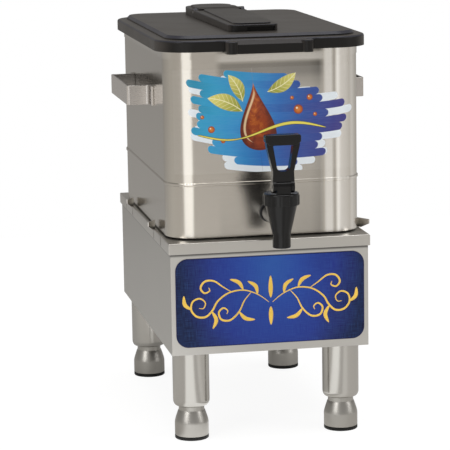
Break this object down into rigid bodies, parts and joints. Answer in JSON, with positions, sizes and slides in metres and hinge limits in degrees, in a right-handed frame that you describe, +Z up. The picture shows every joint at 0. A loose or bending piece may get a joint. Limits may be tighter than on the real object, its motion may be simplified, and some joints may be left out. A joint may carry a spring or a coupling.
{
  "type": "iced tea dispenser",
  "caption": "Steel counter-top tea tank with a lever tap, a black lid with a flip cover and side grips, on a boxed steel stand with adjustable legs.",
  "frame": {"origin": "on the floor, under the centre of the whole dispenser's bounding box", "axes": "+Z up, the tap and sign face -Y, +X to the right of someone who stands in front and faces the tap"},
  "size_m": [0.277, 0.44, 0.4658],
  "materials": {
    "stand_steel": "satin, brushed along the sheet",
    "tank_steel": "satin, brushed",
    "leg_steel": "satin, turned",
    "foot_steel": "smooth satin",
    "fixings": "plain",
    "foot_rubber": "matt",
    "lid_plastic": "fine grained satin",
    "tap_plastic": "smooth",
    "nut_plastic": "smooth",
    "seal_rubber": "soft silicone",
    "washer_rubber": "smooth, dark",
    "spring_steel": "drawn wire",
    "sign_print": "printed, blue with a pale yellow flourish",
    "film_print": "printed clear film, blue brush sweeps with a drop, leaves and bubbles"
  },
  "bodies": {
    "stand": {"stand_deck": "stand_steel", "stand_front": "stand_steel", "stand_back": "stand_steel", "stand_left": "stand_steel", "stand_right": "stand_steel", "leg_rail_front": "stand_steel", "leg_rail_back": "stand_steel", "sign_panel": "sign_print", "back_screws": "fixings", "leg_bolts": "fixings", "leg_tube_front_left": "leg_steel", "leg_tube_front_right": "leg_steel", "leg_tube_back_left": "leg_steel", "leg_tube_back_right": "leg_steel", "leg_insert_front_left": "leg_steel", "leg_insert_front_right": "leg_steel", "leg_insert_back_left": "leg_steel", "leg_insert_back_right": "leg_steel"},
    "tank": {"tank_base": "tank_steel", "tank_floor": "tank_steel", "tank_wall": "tank_steel", "handle_left": "tank_steel", "handle_right": "tank_steel", "tank_pads": "foot_rubber", "print_film": "film_print", "tap_body": "tap_plastic", "tap_bonnet": "tap_plastic", "outer_washer": "washer_rubber", "inner_washer": "washer_rubber", "wing_nut": "nut_plastic", "tap_spring": "spring_steel"},
    "lid": {"lid": "lid_plastic", "cover_pin": "fixings"},
    "cover": {"flip_cover": "lid_plastic"},
    "tap_lever": {"tap_handle": "tap_plastic", "handle_pin": "fixings"},
    "stem": {"tap_stem": "tap_plastic", "seat_cup": "seal_rubber"},
    "foot_front_left": {"foot_front_left": "foot_steel", "foot_pad_front_left": "foot_rubber"},
    "foot_front_right": {"foot_front_right": "foot_steel", "foot_pad_front_right": "foot_rubber"},
    "foot_back_left": {"foot_back_left": "foot_steel", "foot_pad_back_left": "foot_rubber"},
    "foot_back_right": {"foot_back_right": "foot_steel", "foot_pad_back_right": "foot_rubber"}
  },
  "joints": [
    {"name": "tank_lift", "type": "slide", "parent": "stand", "child": "tank", "axis": [0, 0, 1], "range_m": [0, 0.08]},
    {"name": "lid_lift", "type": "slide", "parent": "tank", "child": "lid", "axis": [0, 0, 1], "range_m": [0, 0.06]},
    {"name": "cover_hinge", "type": "hinge", "parent": "lid", "child": "cover", "pos_m": [-0.0045, 0.1123, 0.4601], "axis": [-1, 0, 0], "range_deg": [0, 100]},
    {"name": "tap_lever", "type": "hinge", "parent": "tank", "child": "tap_lever", "pos_m": [0.0025, -0.209, 0.296], "axis": [1, 0, 0], "range_deg": [0, 25], "stiffness_Nm_per_rad": 0.6, "springref_deg": -14.32},
    {"name": "stem_lift", "type": "slide", "parent": "tank", "child": "stem", "axis": [0, 0, 1], "range_m": [0, 0.0048], "deforming": ["tap_spring"]},
    {"name": "foot_front_left_screw", "type": "slide", "parent": "stand", "child": "foot_front_left", "axis": [0, 0, -1], "range_m": [0, 0.02]},
    {"name": "foot_front_right_screw", "type": "slide", "parent": "stand", "child": "foot_front_right", "axis": [0, 0, -1], "range_m": [0, 0.02]},
    {"name": "foot_back_left_screw", "type": "slide", "parent": "stand", "child": "foot_back_left", "axis": [0, 0, -1], "range_m": [0, 0.02]},
    {"name": "foot_back_right_screw", "type": "slide", "parent": "stand", "child": "foot_back_right", "axis": [0, 0, -1], "range_m": [0, 0.02]}
  ],
  "couplings": [
    {"joint": "stem_lift", "follows": "tap_lever", "m_per_rad": 0.0108}
  ]
}
